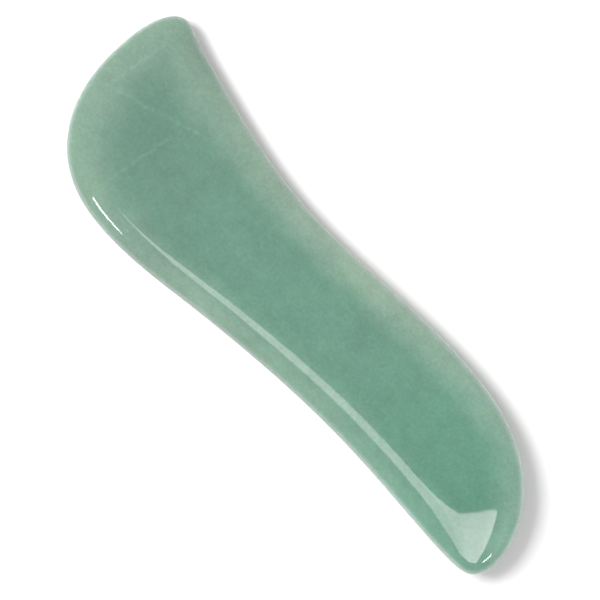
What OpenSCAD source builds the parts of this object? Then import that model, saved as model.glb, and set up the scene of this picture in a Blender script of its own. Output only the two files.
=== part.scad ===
// Gua sha scraper: one solid piece of polished stone with a broad head and a narrow, thicker tail.
// It lies on its lower face, with its length along X, the tail at +X, and the origin under its middle.
// The rim is half way up all round, and a rounded edge runs from it to each flat face.

/* [Stone] */
// Length along X, from the head's end to the tail's end
length = 120; // [80:1:160]
// Width along Y, over the whole curved outline
width = 38.2; // [28:0.2:48]
// Thickness at the end of the head
head_thickness = 6.4; // [4:0.2:12]
// Thickness at the end of the tail
tail_thickness = 9.6; // [4:0.2:16]

/* [Rounded edge] */
// Width of the rounded edge beside the head, in the drawn outline
head_side_edge = 5; // [4:0.2:7]
// Width of the rounded edge beside the tail
tail_side_edge = 6.6; // [4:0.2:7]
// Width of the rounded edge round the end of the head
end_edge = 7; // [4:0.5:8]
// Shoulder where the edge meets the flat faces at the head: 2 is an ellipse, less is tighter
head_shoulder = 1.2; // [1.1:0.1:2.5]
// The same shoulder at the tail
tail_shoulder = 1.7; // [1.1:0.1:2.5]

/* [Smoothness] */
// Points along the outline for each of its control points
outline_steps = 5; // [3:1:8]
// Rings from the rim to each flat face
edge_rings = 9; // [4:1:14]

/* [Hidden] */

stone_colour = "#76A28C";

// The outline is drawn 120 mm long and scaled below to the length and the width. Along both sides
// its control points stand at stations, from the head to the tail, and each end has its own.
last_station = 6;
station_gap = 15;
stations = [for (i = [0 : last_station]) (i - last_station / 2) * station_gap];
hollow_side = [17.1, 13.9, 12.2, 13.3, 14.9, 15.8, 13.8];
heel_side = [-18.9, -19, -16, -13.7, -12, -11.5, -12];
tail_end = [[56.5, 6], [61, -4.5], [59.5, -11], [55, -12]];
head_end = [[-54.8, -12.8], [-59.8, -3], [-60.7, 8], [-59.5, 16.5], [-56, 20.5], [-51.5, 18.5]];

// The rounded edge runs in from the rim towards a spine between these two points
head_centre = [-40, 0];
tail_centre = [43, -1];
// Its widths round the tail, which slopes down to the tip over a longer way
tail_edges = [8, 13, 16, 12];

function mix(a, b, share) = a + (b - a) * share;

// Control points of the rim, clockwise from above
rim_points = concat(
    [for (i = [0 : last_station]) [stations[i], hollow_side[i]]],
    tail_end,
    [for (i = [last_station : -1 : 0]) [stations[i], heel_side[i]]],
    head_end
);

// Width of the rounded edge at each control point of the rim
function side_edge(i) = mix(head_side_edge, tail_side_edge, i / last_station);

edge_widths = concat(
    [for (i = [0 : last_station]) side_edge(i)],
    tail_edges,
    [for (i = [last_station : -1 : 0]) side_edge(i)],
    [for (p = head_end) end_edge]
);

// The point that lies in from p towards the spine by the width of the edge
function inward(p, edge) =
    let (
        share = (p.x - head_centre.x) / (tail_centre.x - head_centre.x),
        way = mix(head_centre, tail_centre, min(max(share, 0), 1)) - p
    )
    p + way / norm(way) * edge;

// Control points of the flat faces' outline
face_points = [for (i = [0 : len(rim_points) - 1]) inward(rim_points[i], edge_widths[i])];

// One point of a closed uniform cubic B-spline: t runs from 0 to 1 past control point i
function spline_point(points, i, t) =
    let (n = len(points))
    (
        pow(1 - t, 3) * points[(i + n - 1) % n]
        + (3 * pow(t, 3) - 6 * pow(t, 2) + 4) * points[i]
        + (-3 * pow(t, 3) + 3 * pow(t, 2) + 3 * t + 1) * points[(i + 1) % n]
        + pow(t, 3) * points[(i + 2) % n]
    ) / 6;

function closed_spline(points, steps) =
    [for (i = [0 : len(points) - 1], s = [0 : steps - 1]) spline_point(points, i, s / steps)];

rim_drawn = closed_spline(rim_points, outline_steps);
face_drawn = closed_spline(face_points, outline_steps);

drawn_x = [for (p = rim_drawn) p.x];
drawn_y = [for (p = rim_drawn) p.y];
drawn_size = [max(drawn_x) - min(drawn_x), max(drawn_y) - min(drawn_y)];
drawn_middle = [max(drawn_x) + min(drawn_x), max(drawn_y) + min(drawn_y)] / 2;

// The drawn outlines, centred and scaled to the stone's length and width
function to_size(p) = [
    (p.x - drawn_middle.x) * length / drawn_size.x,
    (p.y - drawn_middle.y) * width / drawn_size.y
];

rim = [for (p = rim_drawn) to_size(p)];
face = [for (p = face_drawn) to_size(p)];

// How far along the stone x lies, from 0 at the head's end to 1 at the tail's end
function along(x) = x / length + 0.5;

// A point of the rounded edge: angle is 0 at the rim, 90 at the upper face and -90 at the lower one
function edge_point(i, angle) =
    let (
        shoulder = mix(head_shoulder, tail_shoulder, along(rim[i].x)),
        inset = 1 - pow(cos(angle), 2 / shoulder),
        flat = rim[i] + (face[i] - rim[i]) * inset,
        middle = mix(head_thickness, tail_thickness, along(flat.x)) / 2
    )
    [flat.x, flat.y, middle * (1 + sin(angle))];

module stone() {
    around = len(rim);
    layers = 2 * edge_rings + 1;
    points = [
        for (layer = [0 : layers - 1], i = [0 : around - 1])
            edge_point(i, 90 * (layer / edge_rings - 1))
    ];
    sides = [
        for (layer = [0 : layers - 2], i = [0 : around - 1])
            let (
                next = (i + 1) % around,
                low = layer * around,
                high = low + around
            )
            each [[low + i, low + next, high + next], [low + i, high + next, high + i]]
    ];
    lower_face = [for (i = [around - 1 : -1 : 0]) i];
    upper_face = [for (i = [0 : around - 1]) (layers - 1) * around + i];
    color(stone_colour)
        polyhedron(points, concat(sides, [lower_face, upper_face]));
}

stone();
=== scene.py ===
"""Looks of the gua sha scraper: one polished green stone on a pale table, seen from straight above.

Everything is in metres, in the part's own frame: X runs from the head to the tail, Z is up.
"""
import math

import bpy
import numpy as np
from mathutils import Matrix, Vector
from mathutils.kdtree import KDTree


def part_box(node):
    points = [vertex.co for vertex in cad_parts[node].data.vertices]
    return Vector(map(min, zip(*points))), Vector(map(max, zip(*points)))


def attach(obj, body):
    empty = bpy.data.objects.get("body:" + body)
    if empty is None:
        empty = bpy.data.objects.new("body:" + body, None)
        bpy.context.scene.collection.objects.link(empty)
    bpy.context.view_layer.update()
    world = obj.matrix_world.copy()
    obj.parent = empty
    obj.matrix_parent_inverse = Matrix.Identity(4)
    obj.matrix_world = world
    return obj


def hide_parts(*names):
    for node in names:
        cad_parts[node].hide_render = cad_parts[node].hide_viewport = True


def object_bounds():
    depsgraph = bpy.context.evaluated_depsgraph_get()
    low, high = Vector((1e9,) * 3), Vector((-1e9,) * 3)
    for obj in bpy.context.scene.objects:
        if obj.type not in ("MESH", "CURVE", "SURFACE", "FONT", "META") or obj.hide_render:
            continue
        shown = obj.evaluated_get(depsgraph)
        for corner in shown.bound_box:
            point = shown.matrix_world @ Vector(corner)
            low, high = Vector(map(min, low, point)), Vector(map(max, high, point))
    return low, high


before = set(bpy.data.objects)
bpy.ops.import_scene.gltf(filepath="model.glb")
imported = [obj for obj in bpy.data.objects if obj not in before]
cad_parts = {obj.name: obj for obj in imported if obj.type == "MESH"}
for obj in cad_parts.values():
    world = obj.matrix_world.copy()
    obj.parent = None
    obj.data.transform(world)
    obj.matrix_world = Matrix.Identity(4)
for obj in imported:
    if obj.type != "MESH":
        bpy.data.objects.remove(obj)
cad_low, cad_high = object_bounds()
stone_low, stone_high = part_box("stone")
MM = 0.001


# ------------------------------------------------------------------------------------------ shape

# The outline as the CAD model draws it, in mm: control points at stations along both sides,
# and those of the ends
STATIONS = [-45, -30, -15, 0, 15, 30, 45]
HOLLOW_SIDE = [17.1, 13.9, 12.2, 13.3, 14.9, 15.8, 13.8]
HEEL_SIDE = [-18.9, -19, -16, -13.7, -12, -11.5, -12]
TAIL_END = [(56.5, 6), (61, -4.5), (59.5, -11), (55, -12)]
HEAD_END = [(-54.8, -12.8), (-59.8, -3), (-60.7, 8), (-59.5, 16.5), (-56, 20.5), (-51.5, 18.5)]

# The rounded edge, in mm: the two ends of the spine that it runs in towards, and its width along
# the sides, round the tail and round the head
HEAD_CENTRE = (-40, 0)
TAIL_CENTRE = (43, -1)
HEAD_SIDE_EDGE = 5
TAIL_SIDE_EDGE = 6.6
TAIL_EDGES = [8, 13, 16, 12]
END_EDGE = 7

HEAD_THICKNESS = 6.4 * MM
TAIL_THICKNESS = 9.6 * MM
HEAD_SHOULDER = 1.2
TAIL_SHOULDER = 1.7

# Steps of the mesh, and how far the rings on the flat faces run towards a spine that stops short
# of the faces' ends
OUTLINE_STEPS = 14
EDGE_RINGS = 26
FACE_RINGS = 12
SPINE_MARGIN = 12 * MM
SPINE_REACH = 0.93


def along(x):
    """0 at the head's end of the stone and 1 at the tail's end."""
    return (x - stone_low.x) / (stone_high.x - stone_low.x)


def mix(a, b, share):
    return a + (b - a) * share


def control_points():
    """Control points of the rim and of the flat faces' outline, clockwise from above."""
    hollow_side = list(zip(STATIONS, HOLLOW_SIDE))
    heel_side = list(zip(STATIONS, HEEL_SIDE))
    rim = np.array(hollow_side + TAIL_END + heel_side[::-1] + HEAD_END, float)
    side_edges = list(np.linspace(HEAD_SIDE_EDGE, TAIL_SIDE_EDGE, len(STATIONS)))
    edges = side_edges + TAIL_EDGES + side_edges[::-1] + [END_EDGE] * len(HEAD_END)

    head, tail = np.array(HEAD_CENTRE), np.array(TAIL_CENTRE)
    share = np.clip((rim[:, 0] - head[0]) / (tail[0] - head[0]), 0, 1)[:, None]
    way = mix(head, tail, share) - rim
    way /= np.linalg.norm(way, axis=1, keepdims=True)
    return rim, rim + way * np.array(edges)[:, None]


def closed_spline(points, steps):
    """A closed uniform cubic B-spline with a number of steps on each of its stretches."""
    t = np.arange(steps)[None, :, None] / steps
    before, here = np.roll(points, 1, 0)[:, None], points[:, None]
    after, beyond = np.roll(points, -1, 0)[:, None], np.roll(points, -2, 0)[:, None]
    curve = (
        (1 - t) ** 3 * before
        + (3 * t**3 - 6 * t**2 + 4) * here
        + (-3 * t**3 + 3 * t**2 + 3 * t + 1) * after
        + t**3 * beyond
    ) / 6
    return curve.reshape(-1, 2)


def outlines():
    """The rim and the flat faces' outline, scaled from their drawn size to the CAD stone's box."""
    rim, face = [closed_spline(points, OUTLINE_STEPS) for points in control_points()]
    drawn_low, drawn_high = rim.min(0), rim.max(0)
    low, high = np.array(stone_low[:2]), np.array(stone_high[:2])
    scale = (high - low) / (drawn_high - drawn_low)
    return [low + (outline - drawn_low) * scale for outline in (rim, face)]


def edge_rings(rim, face):
    """Rings of plan points from the rim to the face, with heights from 0 at the rim to 1."""
    shoulder = mix(HEAD_SHOULDER, TAIL_SHOULDER, along(rim[:, 0]))[:, None]
    for ring in range(EDGE_RINGS + 1):
        angle = math.pi / 2 * ring / EDGE_RINGS
        inset = 1 - max(math.cos(angle), 0) ** (2 / shoulder)
        yield mix(rim, face, inset), math.sin(angle)


def face_rings(face):
    """Rings that close the flat face towards a spine along its middle."""
    spine_low, spine_high = face[:, 0].min() + SPINE_MARGIN, face[:, 0].max() - SPINE_MARGIN
    spine_x = np.clip(face[:, 0], spine_low, spine_high)
    from_tail = np.roll(face, -face[:, 0].argmax(), 0)
    head_end = from_tail[:, 0].argmin()
    one, other = from_tail[: head_end + 1][::-1], from_tail[head_end:]
    one_y = np.interp(spine_x, one[:, 0], one[:, 1])
    other_y = np.interp(spine_x, other[:, 0], other[:, 1])
    spine = np.column_stack([spine_x, (one_y + other_y) / 2])
    for ring in range(1, FACE_RINGS + 1):
        yield mix(face, spine, SPINE_REACH * ring / FACE_RINGS), 1.0


def stone_mesh():
    """The stone as one closed mesh, with each point's distance in from the rim."""
    rim, face = outlines()
    upper = list(edge_rings(rim, face)) + list(face_rings(face))
    lower = [(plan, -height) for plan, height in upper[1:]][::-1]
    rings = lower + upper
    around = len(rim)

    points = []
    for plan, height in rings:
        middle = mix(HEAD_THICKNESS, TAIL_THICKNESS, along(plan[:, 0])) / 2
        points.append(np.column_stack([plan, middle * (1 + height)]))
    points = np.concatenate(points)

    faces = []
    for ring in range(len(rings) - 1):
        low, high = ring * around, (ring + 1) * around
        for i in range(around):
            after = (i + 1) % around
            faces.append((low + after, low + i, high + i, high + after))
    last = (len(rings) - 1) * around
    faces.append(list(range(around)))
    faces.append(list(range(last, last + around))[::-1])

    mesh = bpy.data.meshes.new("stone_polished")
    mesh.from_pydata(points.tolist(), [], faces)
    mesh.validate()
    mesh.shade_smooth()

    rim_tree = KDTree(around)
    for i, (x, y) in enumerate(rim):
        rim_tree.insert((x, y, 0), i)
    rim_tree.balance()
    distance = mesh.attributes.new("rim_distance", "FLOAT", "POINT")
    distance.data.foreach_set("value", [rim_tree.find((x, y, 0))[2] for x, y, _ in points])
    return mesh


# -------------------------------------------------------------------------------------- materials

def linear(hex_colour):
    """A colour written as six hex digits, as the linear values that the shader takes."""
    parts = [int(hex_colour[i : i + 2], 16) / 255 for i in (0, 2, 4)]
    return [p / 12.92 if p <= 0.04045 else ((p + 0.055) / 1.055) ** 2.4 for p in parts] + [1.0]


class Nodes:
    """A short way to add shader nodes: inputs take a value or another node's output."""

    def __init__(self, tree):
        self.tree = tree
        tree.nodes.clear()

    def feed(self, socket, value):
        if isinstance(value, bpy.types.NodeSocket):
            self.tree.links.new(value, socket)
        else:
            socket.default_value = value

    def add(self, kind, inputs=None, **settings):
        node = self.tree.nodes.new(kind)
        for name, value in settings.items():
            setattr(node, name, value)
        for name, value in (inputs or {}).items():
            self.feed(node.inputs[name], value)
        return node

    def math(self, operation, *values):
        return self.add("ShaderNodeMath", dict(enumerate(values)), operation=operation).outputs[0]

    def vector_math(self, operation, first, second):
        return self.add("ShaderNodeVectorMath", {0: first, 1: second}, operation=operation)

    def noise(self, where, size, detail=2.0, roughness=0.5):
        """Noise whose clouds are about size metres across, centred on 0."""
        noise = self.add(
            "ShaderNodeTexNoise",
            {"Vector": where, "Scale": 1 / size, "Detail": detail, "Roughness": roughness},
        )
        return self.math("SUBTRACT", noise.outputs["Fac"], 0.5)

    def ramp(self, value, low, high, start=0.0, end=1.0):
        """A smooth step from start to end while value goes from low to high."""
        return self.add(
            "ShaderNodeMapRange",
            {"Value": value, "From Min": low, "From Max": high, "To Min": start, "To Max": end},
            interpolation_type="SMOOTHSTEP",
        ).outputs["Result"]

    def blend(self, share, first, second):
        """A mix of two colours, which this node takes at inputs 6 and 7 and gives at output 2."""
        return self.add("ShaderNodeMix", {0: share, 6: first, 7: second}, data_type="RGBA").outputs[2]

    def times(self, *values):
        product = values[0]
        for value in values[1:]:
            product = self.math("MULTIPLY", product, value)
        return product

    def sum(self, *values):
        total = values[0]
        for value in values[1:]:
            total = self.math("ADD", total, value)
        return total


HEAD_GREEN = linear("698b7c")
MIDDLE_GREEN = linear("6b9583")
TAIL_GREEN = linear("639580")
# Painted light: the pale glow of light through the thin edge, at the head and at the tail
HEAD_EDGE_GLOW = linear("97ac9b")
TAIL_EDGE_GLOW = linear("89b09e")
WARM_GREEN = linear("8fac92")
# Painted light: a pale line of reflected light and light through the edge, at the head and at the
# tail
HEAD_RIM_LIGHT = linear("9ea6a3")
TAIL_RIM_LIGHT = linear("b6c0bb")
TABLE_DARK = linear("f4f3f3")
TABLE_LIGHT = linear("f7f7f7")

# How far the colours wander from a straight change along the stone and in from the rim
DRIFT_SIZE = 20 * MM
DRIFT = 20 * MM
WAVER_SIZE = 6 * MM
WAVER = 3 * MM

# The pale edge is painted light, a glow of light through the thin stone: full to EDGE_PLATEAU
# from the rim, and gone at its reach. Its strength rises from the head to the middle and again over
# the tip, and it is weaker on the heel's side, which the key lamp lights directly.
EDGE_PLATEAU = 1.5 * MM
EDGE_REACH = 8 * MM
HEAD_EDGE_REACH = 14 * MM
HEAD_REACH_END = -20 * MM
HEAD_PALENESS = 0.45
MIDDLE_PALENESS = 0.8
TIP_FROM, TIP_TO = 49 * MM, 58 * MM
TIP_PALENESS = 1.3
HEEL_SIDE_FROM, HEEL_SIDE_TO = -4 * MM, -11 * MM
HEEL_FROM, HEEL_TO = -20 * MM, 5 * MM
HEEL_PALENESS, TAIL_HEEL_PALENESS = 0.8, 0.5

WARM_SIZE = 11 * MM
WARM_SHARE = 0.5
# The pale line along the rim is painted light, reflected and shone through at the thin edge
RIM_REACH = 1.2 * MM
RIM_SHARE = 0.7

# Sizes of the stone's texture, and their strengths as shares of the brightness
CLOUD_SIZE, CLOUDS = 9 * MM, 0.22
MOTTLE_SIZE, MOTTLING = 2.2 * MM, 0.22
GRAIN_SIZE, GRAIN = 0.6 * MM, 0.38
# Mica flecks, painted brighter as small glints
FLECK_SIZE, FLECK_GLINT = 0.7 * MM, 0.15
FLECKLESS_SHARE = 0.75

# Faint healed cracks in the head, from one end to the other, in mm
VEINS = [((-58, -1), (-34, 7.5)), ((-42.5, -13), (-40, 5.5)), ((-56, -1), (-54, 14))]
VEIN_WIDTH, VEIN_STRENGTH = 0.6 * MM, 0.16
VEIN_WAVER_SIZE, VEIN_WAVER = 3 * MM, 1.6 * MM
VEIN_BREAK_SIZE = 0.8 * MM

# The hand polish
POLISH, POLISH_CHANGE, POLISH_SIZE = 0.07, 0.05, 4 * MM
PORE_SIZE, PORE_SHARE = 0.6 * MM, 0.25
SWELL_SIZE = 8 * MM
BUMP_STRENGTH, BUMP_HEIGHT = 0.05, 0.05 * MM

# How the stone takes in light
STONE_IOR = 1.54
SCATTER_SHARE, SCATTER_DEPTH = 0.9, 4 * MM
SCATTER_COLOUR_DEPTHS = (0.6, 1.0, 0.8)

TABLE_PATCH_SIZE = 30 * MM
TABLE_ROUGHNESS = 0.9


def vein(nodes, where, start, end):
    """1 on a thin wavering line between two points, fading at both ends and broken up by noise."""
    start, end = Vector((*start, 0)) * MM, Vector((*end, 0)) * MM
    line = end - start
    across = Vector((-line.y, line.x, 0)).normalized()
    offset = nodes.vector_math("SUBTRACT", where, start).outputs[0]
    side = nodes.vector_math("DOT_PRODUCT", offset, across).outputs["Value"]
    run = nodes.vector_math("DOT_PRODUCT", offset, line / line.length_squared).outputs["Value"]
    waver = nodes.times(nodes.noise(where, VEIN_WAVER_SIZE), VEIN_WAVER)
    away = nodes.math("ABSOLUTE", nodes.sum(side, waver))
    on_line = nodes.ramp(away, 0, VEIN_WIDTH, 1, 0)
    from_middle = nodes.math("ABSOLUTE", nodes.math("SUBTRACT", run, 0.5))
    ends = nodes.ramp(from_middle, 0.3, 0.55, 1, 0)
    broken = nodes.ramp(nodes.noise(where, VEIN_BREAK_SIZE), -0.12, 0.15, 0.2, 1)
    return nodes.times(on_line, ends, broken)


def stone_colour(nodes, where):
    """Green, deeper from the head to the tail, with painted light near the rim: a pale glow of light
    through the thin edge and a pale rim line.
    """
    place = nodes.add("ShaderNodeSeparateXYZ", {0: where})
    x, y = place.outputs["X"], place.outputs["Y"]
    drift = nodes.sum(x, nodes.times(nodes.noise(where, DRIFT_SIZE), DRIFT))
    to_middle = nodes.ramp(drift, stone_low.x, 0.0)
    to_tail = nodes.ramp(drift, 0.0, stone_high.x)
    green = nodes.blend(to_middle, HEAD_GREEN, MIDDLE_GREEN)
    green = nodes.blend(to_tail, green, TAIL_GREEN)

    rim_distance = nodes.add("ShaderNodeAttribute", attribute_name="rim_distance").outputs["Fac"]
    wavering = nodes.sum(rim_distance, nodes.times(nodes.noise(where, WAVER_SIZE), WAVER))
    reach = nodes.ramp(x, stone_low.x, HEAD_REACH_END, HEAD_EDGE_REACH, EDGE_REACH)
    off_heel_side = nodes.ramp(y, HEEL_SIDE_TO, HEEL_SIDE_FROM)
    on_heel_side = nodes.ramp(x, HEEL_FROM, HEEL_TO, HEEL_PALENESS, TAIL_HEEL_PALENESS)
    # painted light: the pale glow through the thin edge, weaker where the key lamp lights the heel's
    # side
    edge = nodes.times(
        nodes.ramp(wavering, EDGE_PLATEAU, reach, 1, 0),
        nodes.ramp(x, stone_low.x, 0.0, HEAD_PALENESS, MIDDLE_PALENESS),
        nodes.ramp(x, TIP_FROM, TIP_TO, 1, TIP_PALENESS),
        nodes.math("MAXIMUM", off_heel_side, on_heel_side),
    )
    green = nodes.blend(edge, green, nodes.blend(to_tail, HEAD_EDGE_GLOW, TAIL_EDGE_GLOW))
    # warm patches of tone, only within the painted edge glow
    warm = nodes.ramp(nodes.noise(where, WARM_SIZE, 1.0), -0.05, 0.3, 0, WARM_SHARE)
    green = nodes.blend(nodes.times(warm, edge), green, WARM_GREEN)
    # painted rim light: a pale line of reflected light and light through the edge, just inside the
    # rim
    painted_rim_light = nodes.blend(to_tail, HEAD_RIM_LIGHT, TAIL_RIM_LIGHT)
    return nodes.blend(nodes.ramp(rim_distance, 0, RIM_REACH, RIM_SHARE, 0), green, painted_rim_light)


def stone_brightness(nodes, where):
    """Clouds, mottling, fine grain, mica flecks painted bright as glints, and veins, as a factor on
    the brightness.
    """
    cells = nodes.add("ShaderNodeTexVoronoi", {"Vector": where, "Scale": 1 / FLECK_SIZE})
    chance = nodes.add("ShaderNodeSeparateColor", {0: cells.outputs["Color"]}).outputs[0]
    # mica flecks painted brighter, as glints
    fleck_glint = nodes.times(
        nodes.ramp(cells.outputs["Distance"], 0.1, 0.35, 1, 0),
        nodes.ramp(chance, FLECKLESS_SHARE, 1.0),
    )
    veins = nodes.sum(*[vein(nodes, where, *ends) for ends in VEINS])
    return nodes.sum(
        1.0,
        nodes.times(nodes.noise(where, CLOUD_SIZE), CLOUDS),
        nodes.times(nodes.noise(where, MOTTLE_SIZE, 3.0, 0.6), MOTTLING),
        nodes.times(nodes.noise(where, GRAIN_SIZE, 2.0, 0.7), GRAIN),
        nodes.times(fleck_glint, FLECK_GLINT),
        nodes.times(veins, VEIN_STRENGTH),
    )


def stone_material():
    material = bpy.data.materials.new("polished_green_stone")
    material.use_nodes = True
    nodes = Nodes(material.node_tree)
    where = nodes.add("ShaderNodeTexCoord").outputs["Object"]
    colour = nodes.add(
        "ShaderNodeVectorMath",
        {0: stone_colour(nodes, where), 3: stone_brightness(nodes, where)},
        operation="SCALE",
    ).outputs[0]

    # nearly glassy, with faint unevenness
    polish_change = nodes.times(nodes.noise(where, POLISH_SIZE, 3.0), POLISH_CHANGE)
    pores = nodes.sum(
        nodes.times(nodes.noise(where, PORE_SIZE), PORE_SHARE),
        nodes.noise(where, SWELL_SIZE, 1.0),
    )
    bump = nodes.add(
        "ShaderNodeBump", {"Height": pores, "Strength": BUMP_STRENGTH, "Distance": BUMP_HEIGHT}
    )
    shader = nodes.add(
        "ShaderNodeBsdfPrincipled",
        {
            "Base Color": colour,
            "Roughness": nodes.sum(POLISH, polish_change),
            "Normal": bump.outputs[0],
            "IOR": STONE_IOR,
            "Subsurface Weight": SCATTER_SHARE,
            "Subsurface Radius": SCATTER_COLOUR_DEPTHS,
            "Subsurface Scale": SCATTER_DEPTH,
        },
    )
    nodes.add("ShaderNodeOutputMaterial", {"Surface": shader.outputs[0]})
    return material


def table_material():
    material = bpy.data.materials.new("pale_table")
    material.use_nodes = True
    nodes = Nodes(material.node_tree)
    where = nodes.add("ShaderNodeTexCoord").outputs["Object"]
    tone = nodes.ramp(nodes.noise(where, TABLE_PATCH_SIZE, 4.0), -0.3, 0.3)
    colour = nodes.blend(tone, TABLE_DARK, TABLE_LIGHT)
    shader = nodes.add(
        "ShaderNodeBsdfPrincipled", {"Base Color": colour, "Roughness": TABLE_ROUGHNESS}
    )
    nodes.add("ShaderNodeOutputMaterial", {"Surface": shader.outputs[0]})
    return material


# ------------------------------------------------------------------------------ camera and lights

# The camera looks straight down, turned so that the tail points to the lower right of the view
CAMERA_TURN = math.radians(48)
VIEW_RIGHT = Vector((math.cos(CAMERA_TURN), math.sin(CAMERA_TURN), 0))
VIEW_UP = Vector((-math.sin(CAMERA_TURN), math.cos(CAMERA_TURN), 0))
VIEW_SIZE = 112.96 * MM
CAMERA_SHIFT = (-1.32 * MM, 0.95 * MM)
LENS = 200
SENSOR = 36

# Directions in the view are in degrees: 0 is right, 90 is up and -90 is down
WORLD_STRENGTH = 0.53
WHITE = (1, 1, 1)
WARM_LIGHT = (1.0, 0.91, 0.94)
LAMP_DISTANCE = 1.0
KEY = {"azimuth": 156, "elevation": 52, "width": 0.42, "depth": 0.42, "power": 9.3}
FILL = {"azimuth": 0, "elevation": 22, "width": 0.5, "depth": 0.5, "power": 2.8}

# A long level softbox that the polish mirrors, brighter towards the tail. Its edges are tangents
# from straight up: near and far in its direction, and left and right of it.
SOFTBOX_AZIMUTH = -102
SOFTBOX_HEIGHT = 0.8
SOFTBOX_NEAR, SOFTBOX_FAR = 0.23, 1.44
SOFTBOX_PANELS = [
    {"name": "softbox_dim", "left": -0.38, "right": -0.12, "radiance": 3.2},
    {"name": "softbox_middle", "left": -0.12, "right": 0.1, "radiance": 4.1},
    {"name": "softbox_bright", "left": 0.1, "right": 0.66, "radiance": 5.2},
]

# Two narrow strips that give the short bright streaks on the heel and at the tip
STRIP = {"width": 0.22, "depth": 0.06, "power": 1.0}
HEEL_STRIP = {"azimuth": -151, "elevation": 32, **STRIP}
TAIL_STRIP = {"azimuth": -58, "elevation": 28, **STRIP}

TABLE_HALF = 3.0
TABLE_GAP = 0.02 * MM


def make_camera():
    data = bpy.data.cameras.new("camera")
    data.lens = LENS
    data.sensor_width = SENSOR
    camera = bpy.data.objects.new("camera", data)
    bpy.context.collection.objects.link(camera)
    height = VIEW_SIZE * LENS / SENSOR + (stone_low.z + stone_high.z) / 2
    aim = VIEW_RIGHT * CAMERA_SHIFT[0] + VIEW_UP * CAMERA_SHIFT[1]
    camera.location = aim + Vector((0, 0, height))
    camera.rotation_euler = (0, 0, CAMERA_TURN)
    bpy.context.scene.camera = camera


def direction(azimuth):
    """A level direction in the view."""
    angle = math.radians(azimuth)
    return VIEW_RIGHT * math.cos(angle) + VIEW_UP * math.sin(angle)


def area_light(name, width, depth, power, colour):
    data = bpy.data.lights.new(name, "AREA")
    data.shape = "RECTANGLE"
    data.size = width
    data.size_y = depth
    data.energy = power
    data.color = colour
    light = bpy.data.objects.new(name, data)
    bpy.context.collection.objects.link(light)
    return light


def softbox_panel(name, left, right, radiance):
    """A level panel of the softbox, seen only in reflections."""
    away, aside = direction(SOFTBOX_AZIMUTH), direction(SOFTBOX_AZIMUTH + 90)
    width = (SOFTBOX_FAR - SOFTBOX_NEAR) * SOFTBOX_HEIGHT
    depth = (right - left) * SOFTBOX_HEIGHT
    panel = area_light(name, width, depth, 4 * radiance * width * depth, WARM_LIGHT)
    out = (SOFTBOX_NEAR + SOFTBOX_FAR) / 2 * SOFTBOX_HEIGHT
    across = (left + right) / 2 * SOFTBOX_HEIGHT
    centre = away * out + aside * across + Vector((0, 0, SOFTBOX_HEIGHT))
    turn = Matrix((away, aside, Vector((0, 0, 1)))).transposed().to_4x4()
    panel.matrix_world = Matrix.Translation(centre) @ turn
    panel.visible_diffuse = False


def lamp(name, azimuth, elevation, width, depth, power, colour=WHITE):
    """A flat lamp that faces the stone from a distance."""
    light = area_light(name, width, depth, power, colour)
    tilt = math.radians(elevation)
    toward = direction(azimuth) * math.cos(tilt) + Vector((0, 0, math.sin(tilt)))
    light.location = toward * LAMP_DISTANCE
    light.rotation_euler = toward.to_track_quat("Z", "Y").to_euler()
    return light


def make_lights():
    world = bpy.data.worlds.new("studio")
    world.use_nodes = True
    background = world.node_tree.nodes["Background"]
    background.inputs["Color"].default_value = (*WHITE, 1)
    background.inputs["Strength"].default_value = WORLD_STRENGTH
    bpy.context.scene.world = world

    key = lamp("key", **KEY)
    key.visible_glossy = False
    fill = lamp("fill", colour=WARM_LIGHT, **FILL)
    fill.visible_glossy = False
    fill.data.use_shadow = False
    for panel in SOFTBOX_PANELS:
        softbox_panel(**panel)
    for strip in (lamp("heel_strip", **HEEL_STRIP), lamp("tail_strip", **TAIL_STRIP)):
        strip.visible_diffuse = False


def make_table():
    half = TABLE_HALF
    corners = [(-half, -half, 0), (half, -half, 0), (half, half, 0), (-half, half, 0)]
    mesh = bpy.data.meshes.new("table")
    mesh.from_pydata(corners, [], [(0, 1, 2, 3)])
    mesh.materials.append(table_material())
    table = bpy.data.objects.new("table", mesh)
    bpy.context.collection.objects.link(table)
    table.location.z = cad_low.z - TABLE_GAP


# -------------------------------------------------------------------------------------- the scene

bpy.context.scene.view_settings.view_transform = "Standard"
make_camera()
make_table()
make_lights()

stone = bpy.data.objects.new("stone_polished", stone_mesh())
bpy.context.collection.objects.link(stone)
stone.data.materials.append(stone_material())
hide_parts("stone")
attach(stone, "root")
